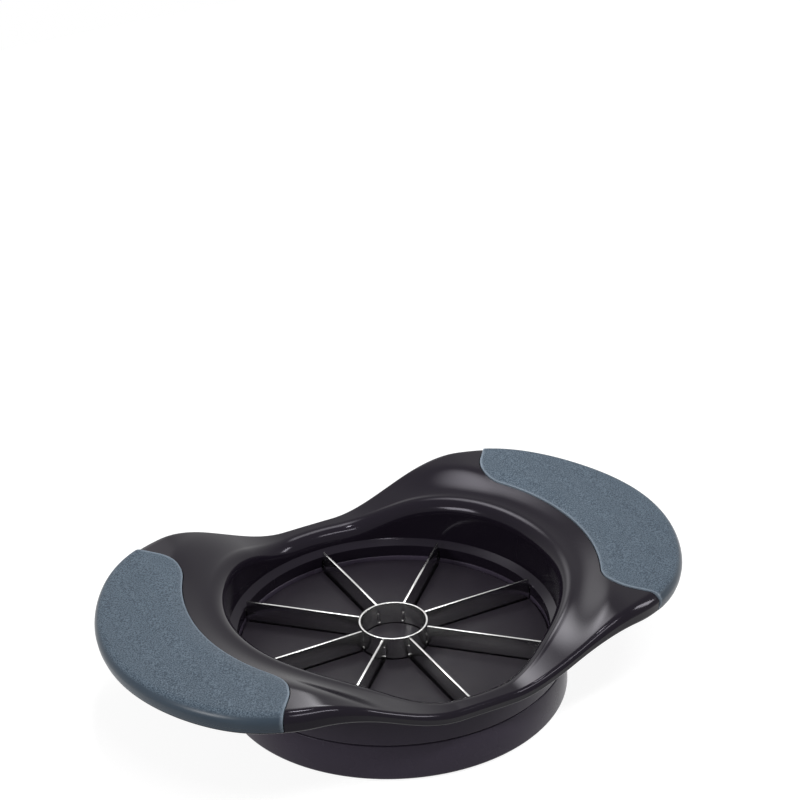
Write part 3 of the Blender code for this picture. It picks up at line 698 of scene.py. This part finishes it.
# %% Sizes of the blades
BLADE_THICKNESS = blade_high.y - blade_low.y
GRIND_HEIGHT = 0.0022
GRIND_EDGE = 0.00012
CORE_WALL = 0.0006
CORE_RADIUS = core_high.x
BLADE_INNER = CORE_RADIUS + CLEARANCE
BLADE_OUTER = SEAT_RADIUS - CLEARANCE
TAB_DROP = 0.0014  # how deep the outer tabs sit in the clamp ring
TAB_LOW = clamp_high.z - TAB_DROP
CORE_TAB_HALF = 0.0015
SPINE_ROUND = 0.00008
UV_SCALE = 10.0  # one UV unit is 100 mm


# %% Make the blades
def blade_outline():
    """The blade's side view as (distance, height) points, lower edge first."""
    low, high = blade_low.z, blade_high.z
    middle = (low + high) / 2
    return ((BLADE_INNER, low), (BLADE_OUTER, low), (BLADE_OUTER, TAB_LOW), (blade_high.x, TAB_LOW),
            (blade_high.x, TAB_HIGH), (BLADE_OUTER, TAB_HIGH), (BLADE_OUTER, high),
            (BLADE_INNER, high), (BLADE_INNER, middle + CORE_TAB_HALF),
            (blade_low.x, middle + CORE_TAB_HALF), (blade_low.x, middle - CORE_TAB_HALF),
            (BLADE_INNER, middle - CORE_TAB_HALF))


def lay_uv(bm, across):
    """Give each corner of the mesh a UV of (distance along, height), in hundreds of millimetres."""
    layer = bm.loops.layers.uv.new("surface")
    for face in bm.faces:
        for loop in face.loops:
            spot = loop.vert.co
            loop[layer].uv = (across(spot) * UV_SCALE, spot.z * UV_SCALE)


def make_blade(number):
    bm = slab([(x, blade_low.y, z) for x, z in blade_outline()], (0, BLADE_THICKNESS, 0))
    bmesh.ops.bisect_plane(bm, geom=bm.verts[:] + bm.edges[:] + bm.faces[:],
                           plane_co=(0, 0, blade_low.z + GRIND_HEIGHT), plane_no=(0, 0, 1))
    for vert in bm.verts:
        if vert.co.z < blade_low.z + WELD:
            vert.co.y *= GRIND_EDGE / BLADE_THICKNESS
    bmesh.ops.recalc_face_normals(bm, faces=bm.faces)
    above = blade_low.z + WELD
    round_edges(bm, SPINE_ROUND, segments=2, least=60,
                chosen=lambda edge: min(vert.co.z for vert in edge.verts) > above)
    lay_uv(bm, lambda spot: spot.x)
    bmesh.ops.rotate(bm, verts=bm.verts, cent=(0, 0, 0), matrix=blade_turn(number))
    return new_object(f"ground_blade_{number + 1}", bm)


blades = [make_blade(number) for number in range(BLADE_COUNT)]
for number, blade in enumerate(blades):
    stands_for(blade, "cutter", "blade_steel", f"blade_{number + 1}")

# %% [markdown]
# ## The core ring
#
# The ring that cuts the core is a short piece of thin tube, ground on the outside of its lower edge
# so that the core slides up inside it. It is spun from its wall's outline, and eight slots let the
# blades' inner tabs through.

# %% Make the core ring
RING_ROUND = 0.0001


def make_core_ring():
    inner = CORE_RADIUS - CORE_WALL
    low, high = core_low.z, core_high.z
    bm = spun(((CORE_RADIUS, high), (CORE_RADIUS, low + GRIND_HEIGHT), (inner + GRIND_EDGE, low),
               (inner, low), (inner, high)))
    round_edges(bm, RING_ROUND, least=60, chosen=lambda edge: edge.verts[0].co.z > low + GRIND_HEIGHT)
    lay_uv(bm, lambda spot: atan2(spot.y, spot.x) * CORE_RADIUS)
    piece = new_object("core_ring", bm)
    middle = (blade_low.z + blade_high.z) / 2
    half = CORE_TAB_HALF + CLEARANCE
    carve(piece, radial_bars(inner - OVERRUN, CORE_RADIUS + OVERRUN, SLOT_HALF, middle - half,
                             middle + half))
    return piece


core_ring = make_core_ring()
stands_for(core_ring, "cutter", "blade_steel", "core_cutter")

# %% [markdown]
# ## The clamp ring
#
# Under the seat, a black ring closes the frame from below and traps the blades' outer tabs. It only
# shows when the cutter is lifted and turned over, but it is finished like the rest.

# %% Make the clamp ring
CLAMP_ROUND = 0.0003


def make_clamp_ring():
    outer, low, high = clamp_high.x, clamp_low.z, clamp_high.z
    bm = spun(((outer, high), (outer, low), (SEAT_RADIUS, low), (SEAT_RADIUS, high)))
    round_edges(bm, CLAMP_ROUND)
    piece = new_object("clamp_ring", bm)
    carve(piece, radial_bars(SEAT_RADIUS - OVERRUN, outer + OVERRUN, SLOT_HALF, TAB_LOW - CLEARANCE,
                             high + OVERRUN))
    return piece


clamp_ring = make_clamp_ring()
stands_for(clamp_ring, "cutter", "frame_plastic", "blade_clamp_ring")

# %% [markdown]
# ## The base
#
# The base is a low drum, a little higher than a jar lid. It is spun from its wall's outline: an
# eased upper edge at the seam under the frame, a rounded foot, a flange with a groove for the soft
# ring below, and a ledge inside that carries the pad plate.

# %% Make the drum
BASE_ROUND = 0.0010
FLANGE_WIDTH = 0.008
FLANGE_THICKNESS = 0.0025
LEDGE_WIDTH = 0.003
LEDGE_THICKNESS = 0.002
RING_SINK = 0.0012
RING_WIDTH = 0.0029
RING_INNER = ring_high.x - RING_WIDTH
PLATE_THICKNESS = 0.0023
PLATE_HIGH = drum_high.z - CLEARANCE
PLATE_LOW = PLATE_HIGH - PLATE_THICKNESS
BREAK_ROUND = 0.00025  # the slight rounding of the drum's other edges


def drum_outline():
    low, high = drum_low.z, drum_high.z
    flange_inner = SKIRT_RADIUS - FLANGE_WIDTH
    ledge_high = PLATE_LOW - CLEARANCE
    outline = [(SKIRT_RADIUS - SEAM_ROUND * (1 - sine), high - SEAM_ROUND * (1 - cosine))
               for sine, cosine in quarter(FOOT_STEPS)]
    outline += [(SKIRT_RADIUS - BASE_ROUND * (1 - cosine), low + BASE_ROUND * (1 - sine))
                for sine, cosine in quarter(FOOT_STEPS * 2)]
    outline += [(ring_high.x + CLEARANCE, low), (ring_high.x + CLEARANCE, low + RING_SINK + CLEARANCE),
                (RING_INNER - CLEARANCE, low + RING_SINK + CLEARANCE), (RING_INNER - CLEARANCE, low),
                (flange_inner, low), (flange_inner, low + FLANGE_THICKNESS),
                (BORE_RADIUS, low + FLANGE_THICKNESS), (BORE_RADIUS, ledge_high - LEDGE_THICKNESS),
                (BORE_RADIUS - LEDGE_WIDTH, ledge_high - LEDGE_THICKNESS),
                (BORE_RADIUS - LEDGE_WIDTH, ledge_high), (BORE_RADIUS, ledge_high), (BORE_RADIUS, high)]
    return outline


bm = spun(drum_outline())
round_edges(bm, BREAK_ROUND, segments=2)
drum = new_object("moulded_drum", bm)
stands_for(drum, "base", "base_plastic", "base_body")

# %% Make the soft ring
RING_EDGE = 0.0004

bm = spun(((ring_high.x, ring_high.z), (ring_high.x, 0), (RING_INNER, 0), (RING_INNER, ring_high.z)))
round_edges(bm, RING_EDGE, segments=4, chosen=lambda edge: edge.verts[0].co.z < RING_EDGE)
soft_ring = new_object("soft_ring", bm)
stands_for(soft_ring, "base", "ring_rubber", "non_slip_ring")

# %% [markdown]
# ## The pad plate
#
# The plate in the base carries a raised pad for each wedge and a round one for the core. It is spun
# as one disc with a ring groove, the eight straight grooves are cut out with bars, and then the
# upper edges of all pads are rounded in one bevel, which is what a mould's polished corners give.

# %% Make the pad plate
PAD_ROUND = 0.0005
GROOVE_PLAY = 0.00045  # room on each side of a blade
GROOVE_HALF = blade_high.y + GROOVE_PLAY
HUB_RADIUS = 0.012
HUB_WALL = 0.0016
PLATE_RIB_HALF = 0.0008


def plate_outline():
    core_pad = CORE_RADIUS - CORE_WALL - CLEARANCE
    first_pad = CORE_RADIUS + CLEARANCE
    last_pad = BLADE_OUTER - CLEARANCE
    top = plate_high.z
    hub_inner = HUB_RADIUS - HUB_WALL
    return ((0, top), (core_pad, top), (core_pad, PLATE_HIGH), (first_pad, PLATE_HIGH),
            (first_pad, top), (last_pad, top), (last_pad, PLATE_HIGH), (plate_high.x, PLATE_HIGH),
            (plate_high.x, PLATE_LOW), (HUB_RADIUS, PLATE_LOW), (HUB_RADIUS, plate_low.z),
            (hub_inner, plate_low.z), (hub_inner, PLATE_LOW), (0, PLATE_LOW))


def make_pad_plate():
    piece = new_object("pad_plate", spun(plate_outline()))
    groove_start = CORE_RADIUS - CORE_WALL / 2
    groove_end = (BLADE_OUTER + plate_high.x) / 2
    carve(piece, radial_bars(groove_start, groove_end, GROOVE_HALF, PLATE_HIGH, plate_high.z + OVERRUN))
    carve(piece, radial_bars(HUB_RADIUS - HUB_WALL / 2, BORE_RADIUS - LEDGE_WIDTH - CLEARANCE,
                             PLATE_RIB_HALF, plate_low.z + PEG_ROOT, PLATE_LOW + PEG_ROOT), "UNION")
    bm = bmesh.new()
    bm.from_mesh(piece.data)
    top = plate_high.z - WELD
    round_edges(bm, PAD_ROUND, segments=4,
                chosen=lambda edge: min(vert.co.z for vert in edge.verts) > top)
    bm.to_mesh(piece.data)
    bm.free()
    shade(piece.data)
    return piece


pad_plate = make_pad_plate()
stands_for(pad_plate, "base", "plate_plastic", "press_plate")

# %% [markdown]
# ## Helpers for finishes
#
# Colours are written as sRGB hex codes, as a paint program shows them, and one function turns them
# to the linear numbers that shaders use. One function adds a node with its values and links. Two
# more hold what most finishes share: a gloss that wanders, and a skin with shallow bumps. Blender's
# noise stays mostly between 0.3 and 0.7, so those two numbers are what a noise is mapped from.

# %% Helpers for finishes
NOISE_LOW = 0.3
NOISE_HIGH = 0.7
WHITE = (1, 1, 1, 1)


def colour(code):
    """Turn an sRGB hex code into the linear colour that a shader uses."""
    parts = [int(code[k:k + 2], 16) / 255 for k in (1, 3, 5)]
    linear = [part / 12.92 if part <= 0.04045 else ((part + 0.055) / 1.055) ** 2.4 for part in parts]
    return (*linear, 1.0)


def feed(tree, node, inputs):
    """Fill a node's inputs; each is a value, or an output to link from."""
    for name, value in inputs.items():
        if isinstance(value, bpy.types.NodeSocket):
            tree.links.new(value, node.inputs[name])
        else:
            node.inputs[name].default_value = value


def add_node(tree, kind, inputs=None, **settings):
    """Add a shader node with its settings and filled inputs, and return its outputs."""
    made = tree.nodes.new("ShaderNode" + kind)
    for name, value in settings.items():
        setattr(made, name, value)
    feed(tree, made, inputs or {})
    return made.outputs


def sized(spot, millimetres):
    """Inputs of a texture whose pattern repeats about once in a size given in millimetres."""
    return {"Vector": spot, "Scale": 1 / (millimetres * MM)}


def new_material(name, base, specular):
    """A material with its base colour and specular level, and the object's own coordinates."""
    material = bpy.data.materials.new(name)
    material.use_nodes = True
    tree = material.node_tree
    shader = tree.nodes["Principled BSDF"]
    feed(tree, shader, {"Base Color": colour(base), "Specular IOR Level": specular})
    return material, tree, shader, add_node(tree, "TexCoord")["Object"]


def wander(tree, spot, patch, low, high):
    """A value that wanders between two others over patches of a size in millimetres."""
    patches = add_node(tree, "TexNoise", sized(spot, patch))["Fac"]
    return add_node(tree, "MapRange", {"Value": patches, "From Min": NOISE_LOW, "From Max": NOISE_HIGH,
                                       "To Min": low, "To Max": high})["Result"]


def uneven_skin(tree, spot, size, depth, detail, strength=1.0):
    """The normal of a skin with shallow bumps, whose size and depth are in millimetres."""
    bumps = add_node(tree, "TexNoise", {**sized(spot, size), "Detail": detail})
    return add_node(tree, "Bump", {"Height": bumps["Fac"], "Distance": depth * MM,
                                   "Strength": strength})["Normal"]


def give(material, *pieces):
    for piece in pieces:
        piece.data.materials.clear()
        piece.data.materials.append(material)


# %% [markdown]
# ## Gloss black ABS
#
# The frame is ABS, injection moulded in a black with a little plum in it. Its deck comes from a
# polished tool and its skirt from a duller one, so the gloss ends at the height where the skirt
# begins. A moulded gloss is never as flat as glass: it has a slow waviness from shrinkage, a few
# millimetres wide, which is far too shallow to see except in the reflections. All the blacks have a
# low specular level, because the white background that they reflect would turn them grey.

# %% Gloss black ABS
GLOSS_BLACK = "#17131b"
SATIN_BLACK = "#39333f"
PLUM_SHINE = "#f6f1ff"
SKIRT_ROUGHNESS = 0.27
SKIRT_TOP = WAIST_HEIGHT - SIDE_WAIST
GLOSS_FADE = 0.001  # height over which the gloss gives way to the skirt's satin


def polished_mould_abs():
    material, tree, shader, spot = new_material("polished_mould_black_abs", GLOSS_BLACK, specular=0.12)
    height = add_node(tree, "SeparateXYZ", {"Vector": spot})["Z"]
    low = add_node(tree, "MapRange", {"Value": height, "From Min": SKIRT_TOP,
                                      "From Max": SKIRT_TOP - GLOSS_FADE})["Result"]
    plan = add_node(tree, "VectorMath", {0: spot, 1: (1, 1, 0)}, operation="MULTIPLY")["Vector"]
    reach = add_node(tree, "VectorMath", {0: plan}, operation="LENGTH")["Value"]
    outside = add_node(tree, "Math", {0: reach, 1: (BORE_RADIUS + SKIRT_RADIUS) / 2},
                       operation="GREATER_THAN")["Value"]
    satin = add_node(tree, "Math", {0: low, 1: outside}, operation="MULTIPLY")["Value"]
    tone = add_node(tree, "Mix", {"Factor": satin, "A": colour(GLOSS_BLACK), "B": colour(SATIN_BLACK)},
                    data_type="RGBA")["Result"]
    gloss = wander(tree, spot, patch=14, low=0.10, high=0.14)
    rough = add_node(tree, "Mix", {"Factor": satin, "A": gloss, "B": SKIRT_ROUGHNESS})["Result"]
    wavy = uneven_skin(tree, spot, size=6, depth=0.02, detail=1.0, strength=0.35)
    feed(tree, shader, {"Base Color": tone, "Specular Tint": colour(PLUM_SHINE), "Roughness": rough,
                        "Normal": wavy})
    return material


give(polished_mould_abs(), moulded_frame)


# %% [markdown]
# ## Satin black ABS
#
# The drum is the same plastic from a tool with a finer, duller polish, and so is the clamp ring. The
# pad plate comes from a spark-eroded tool. Spark erosion leaves an even grain of tiny craters, drawn
# here at 0.35 mm so that it shows, which spreads the shine of the pads.

# %% Satin black ABS
CRATER = 0.35  # width and depth of a crater in millimetres
CRATER_DEPTH = 0.03


def satin_mould_abs():
    material, tree, shader, spot = new_material("satin_mould_black_abs", SATIN_BLACK, specular=0.14)
    dulled = uneven_skin(tree, spot, size=0.6, depth=0.006, detail=3.0, strength=0.4)
    feed(tree, shader, {"Specular Tint": colour(PLUM_SHINE), "Normal": dulled,
                        "Roughness": wander(tree, spot, patch=12, low=0.24, high=0.30)})
    return material


def spark_eroded_abs():
    material, tree, shader, spot = new_material("spark_eroded_black_abs", "#201c23", specular=0.15)
    craters = add_node(tree, "TexVoronoi", sized(spot, CRATER))["Distance"]
    eroded = add_node(tree, "Bump", {"Height": craters, "Distance": CRATER_DEPTH * MM, "Strength": 0.6})
    feed(tree, shader, {"Roughness": wander(tree, spot, patch=9, low=0.42, high=0.52),
                        "Normal": eroded["Normal"]})
    return material


give(satin_mould_abs(), drum, clamp_ring)
give(spark_eroded_abs(), pad_plate)


# %% [markdown]
# ## Soft-touch elastomer
#
# The grips are thermoplastic elastomer moulded over the wings. It has a fine pebble grain where the
# hand lies. The pebbles' tops are lighter and the grooves between them darker: partly rubbed wear,
# partly painted light on the tops and painted shade in the grooves. The grain fades out on the rolled
# edge, where a grained mould would scuff the part on its way out, and the skin there is smoother. So
# grain, gloss and the lighter tops follow how level the surface is, which leaves the rolled sides
# painted darker than the top. Along the border a lighter line is a painted highlight, in place of the
# shine on the rounded bead. The real pebbles are about 0.2 mm wide and are drawn at twice that, so
# that they show.

# %% Soft-touch elastomer
PEBBLE = 0.4  # width and depth of a pebble in millimetres
PEBBLE_DEPTH = 0.05
CLOUD = 11  # and the width of the patches where the tone drifts
LEVEL_SMOOTH = 0.60  # the normal's upward part where the grain starts
LEVEL_GRAINED = 0.88  # and where it is full
TOPS_START = 0.42  # the noise's height where a pebble's top starts
TOPS_FULL = 0.60
SMOOTH_ROUGHNESS = 0.30
GRAINED_ROUGHNESS = 0.56
# Painted shade: the darker skin tones fill the grooves between pebbles and the rolled sides.
SKIN_AND_GROOVE_SHADE_TONES = ("#303c48", "#3a4652")
# Partly rubbed wear, partly painted light: the lighter tones on the pebbles' tops.
RUBBED_AND_LIT_TONES = ("#56636f", "#62707d")
# Painted highlight: the lighter line along the grip's border, where its bead would shine.
PAINTED_HIGHLIGHT_TONE = "#75818d"


def pebbled_elastomer():
    material, tree, shader, spot = new_material("pebbled_soft_touch_elastomer", "#566270", specular=0.2)
    facing = add_node(tree, "TexCoord")["Normal"]
    level = add_node(tree, "SeparateXYZ", {"Vector": facing})["Z"]
    grained = add_node(tree, "MapRange", {"Value": level, "From Min": LEVEL_SMOOTH,
                                          "From Max": LEVEL_GRAINED},
                       interpolation_type="SMOOTHSTEP")["Result"]
    rough = add_node(tree, "Mix", {"Factor": grained, "A": SMOOTH_ROUGHNESS, "B": GRAINED_ROUGHNESS})
    pebbles = add_node(tree, "TexNoise", {**sized(spot, PEBBLE), "Detail": 1.0})
    tops = add_node(tree, "MapRange", {"Value": pebbles["Fac"], "From Min": TOPS_START,
                                       "From Max": TOPS_FULL})["Result"]
    # The pebbles' lighter tops, only where the surface is level: partly wear, partly painted light.
    worn_and_lit = add_node(tree, "Math", {0: tops, 1: grained}, operation="MULTIPLY")["Value"]
    clouds = add_node(tree, "TexNoise", {**sized(spot, CLOUD), "Detail": 4.0})
    skin_and_shade, rubbed_and_lit = (add_node(tree, "Mix", {"Factor": clouds["Fac"], "A": colour(dark),
                                           "B": colour(light)}, data_type="RGBA")["Result"]
                    for dark, light in (SKIN_AND_GROOVE_SHADE_TONES, RUBBED_AND_LIT_TONES))
    grain = add_node(tree, "Mix", {"Factor": worn_and_lit, "A": skin_and_shade, "B": rubbed_and_lit}, data_type="RGBA")
    # The painted highlight along the border, read from each point of the grip.
    painted_highlight = add_node(tree, "Attribute", attribute_name="painted_highlight")["Fac"]
    highlighted_grain = add_node(tree, "Mix", {"Factor": painted_highlight, "A": grain["Result"], "B": colour(PAINTED_HIGHLIGHT_TONE)},
                     data_type="RGBA")
    raised = add_node(tree, "Bump", {"Height": worn_and_lit, "Distance": PEBBLE_DEPTH * MM})
    feed(tree, shader, {"Base Color": highlighted_grain["Result"], "Roughness": rough["Result"],
                        "Normal": raised["Normal"]})
    return material


def moulded_elastomer():
    material, tree, shader, spot = new_material("moulded_black_elastomer", "#1a1a1b", specular=0.2)
    feed(tree, shader, {"Roughness": wander(tree, spot, patch=3, low=0.72, high=0.86),
                        "Normal": uneven_skin(tree, spot, size=1.5, depth=0.02, detail=3.0)})
    return material


give(pebbled_elastomer(), *grips)
give(moulded_elastomer(), soft_ring)


# %% [markdown]
# ## Ground stainless steel
#
# The blades are cold-rolled stainless strip. Rolling leaves fine lines along the strip, and the
# bevel is ground across, so below the grind line the scratches run up and down. Both are drawn as
# noise stretched along the UV map, and the highlight is stretched the same way by anisotropy.

# %% Ground stainless steel
FINE_LINES = 2400
LONG_LINES = 60
SCRATCH_DEPTH = 0.002


def ground_stainless(name, grind_top):
    material, tree, shader, _ = new_material(name, "#c6c6c5", specular=0.5)
    surface = add_node(tree, "UVMap", uv_map="surface")["UV"]
    drawn = [add_node(tree, "VectorMath", {0: surface, 1: stretch}, operation="MULTIPLY")["Vector"]
             for stretch in ((LONG_LINES, FINE_LINES, 1), (FINE_LINES, LONG_LINES, 1))]
    rolled, ground = (add_node(tree, "TexNoise", {"Vector": vector, "Scale": 1.0})["Fac"]
                      for vector in drawn)
    height = add_node(tree, "SeparateXYZ", {"Vector": surface})["Y"]
    below = add_node(tree, "Math", {0: height, 1: grind_top * UV_SCALE}, operation="LESS_THAN")
    lines = add_node(tree, "Mix", {"Factor": below["Value"], "A": rolled, "B": ground})["Result"]
    rough = add_node(tree, "MapRange", {"Value": lines, "From Min": NOISE_LOW, "From Max": NOISE_HIGH,
                                        "To Min": 0.16, "To Max": 0.26})
    scratched = add_node(tree, "Bump", {"Height": lines, "Distance": SCRATCH_DEPTH * MM, "Strength": 0.4})
    tangent = add_node(tree, "Tangent", direction_type="UV_MAP", uv_map="surface")
    feed(tree, shader, {"Metallic": 1.0, "Anisotropic": 0.5, "Roughness": rough["Result"],
                        "Normal": scratched["Normal"], "Tangent": tangent["Tangent"]})
    return material


give(ground_stainless("ground_stainless_strip", blade_low.z + GRIND_HEIGHT), *blades)
give(ground_stainless("ground_stainless_tube", core_low.z + GRIND_HEIGHT), core_ring)

# %% [markdown]
# ## Floor and background
#
# The table is a pale plane. To the camera and in reflections both it and the world read as
# white, while the light that they throw on the press stays at a plain level, so the black keeps its
# depth. The floor still darkens under the press, because part of its white is real lit surface. It
# is small enough for the lamps to light it to its edges, so it never shows as a grey band.

# %% Floor and background
FLOOR_SIZE = 1.2
FLOOR_GLOW = 0.87
FLOOR_ROUGHNESS = 0.9
AMBIENT = 0.12


def seen_directly(tree):
    """1 for rays from the camera, from a reflection or through glass, and 0 for the rest."""
    path = add_node(tree, "LightPath")
    total = add_node(tree, "Math", {0: path["Is Camera Ray"], 1: path["Is Glossy Ray"]}, operation="ADD")
    return add_node(tree, "Math", {0: total["Value"], 1: path["Is Transmission Ray"]},
                    operation="ADD", use_clamp=True)["Value"]


def make_floor():
    bm = bmesh.new()
    bmesh.ops.create_grid(bm, x_segments=1, y_segments=1, size=FLOOR_SIZE / 2)
    floor = new_object("floor", bm)
    material, tree, shader, _ = new_material("matt_white_table", "#909090", specular=0.0)
    glow = add_node(tree, "Math", {0: seen_directly(tree), 1: FLOOR_GLOW}, operation="MULTIPLY")
    feed(tree, shader, {"Roughness": FLOOR_ROUGHNESS, "Emission Color": WHITE,
                        "Emission Strength": glow["Value"]})
    give(material, floor)


def make_world():
    world = bpy.data.worlds.new("white_studio")
    world.use_nodes = True
    tree = world.node_tree
    strength = add_node(tree, "MapRange", {"Value": seen_directly(tree), "To Min": AMBIENT, "To Max": 1.0})
    feed(tree, tree.nodes["Background"], {"Color": WHITE, "Strength": strength["Result"]})
    bpy.context.scene.world = world


make_floor()
make_world()

# %% [markdown]
# ## Lights
#
# Soft boxes, as in any product studio. A gloss black piece shows little of its own colour, and what
# draws it is the reflections of the boxes. Each place is therefore worked out backwards, from the
# edge or slope that should shine: a ray from the camera bounces off it towards the box. The two
# boxes behind the press fade towards their edges, so that the gloss shows no outline of them. The
# neck box is small and close, so that its reflection stays at the front of the deck.

# %% Lights
MIDDLE = Vector((0, 0, 0.03))
FAR = 1.0
NEAR = 0.17
HALF_BOX = 0.5  # a box's own coordinates run from 0 to 1 across it


def soft_box(name, direction, distance, width, height, power):
    """A soft box that looks at the press from a direction and distance."""
    light = bpy.data.lights.new(name, "AREA")
    light.shape = "RECTANGLE"
    light.size = width
    light.size_y = height
    light.energy = power
    box = add_object(name, light)
    outward = Vector(direction).normalized()
    box.location = MIDDLE + outward * distance
    box.rotation_euler = (-outward).to_track_quat("-Z", "Y").to_euler()
    return box


def fade_out(box):
    """Let a box fade from its middle to its edges, like fabric lit by one lamp behind it."""
    box.data.use_nodes = True
    tree = box.data.node_tree
    place = add_node(tree, "NewGeometry")["Parametric"]
    offset = add_node(tree, "VectorMath", {0: place, 1: (HALF_BOX, HALF_BOX, 0)}, operation="SUBTRACT")
    away = add_node(tree, "VectorMath", {0: offset["Vector"]}, operation="LENGTH")
    glow = add_node(tree, "MapRange", {"Value": away["Value"], "From Min": HALF_BOX,
                                       "From Max": 0.0}, interpolation_type="SMOOTHSTEP")
    feed(tree, tree.nodes["Emission"], {"Strength": glow["Result"]})


soft_box("top_box", (0.0, -0.06, 1.0), FAR, width=0.09, height=0.10, power=2.0)
soft_box("front_strip", (0.06, -0.53, 0.85), FAR, width=0.60, height=0.08, power=3.9)
soft_box("right_box", (0.78, -0.34, 0.50), FAR, width=0.12, height=0.34, power=2.9)
soft_box("left_box", (-0.90, -0.12, 0.40), FAR, width=0.25, height=0.25, power=4.4)
fade_out(soft_box("back_box", (0.10, 0.90, 0.44), FAR, width=0.60, height=0.45, power=1.9))
fade_out(soft_box("neck_box", (0.22, 0.57, 0.79), NEAR, width=0.10, height=0.08, power=0.36))
bpy.context.scene.view_settings.view_transform = "Standard"
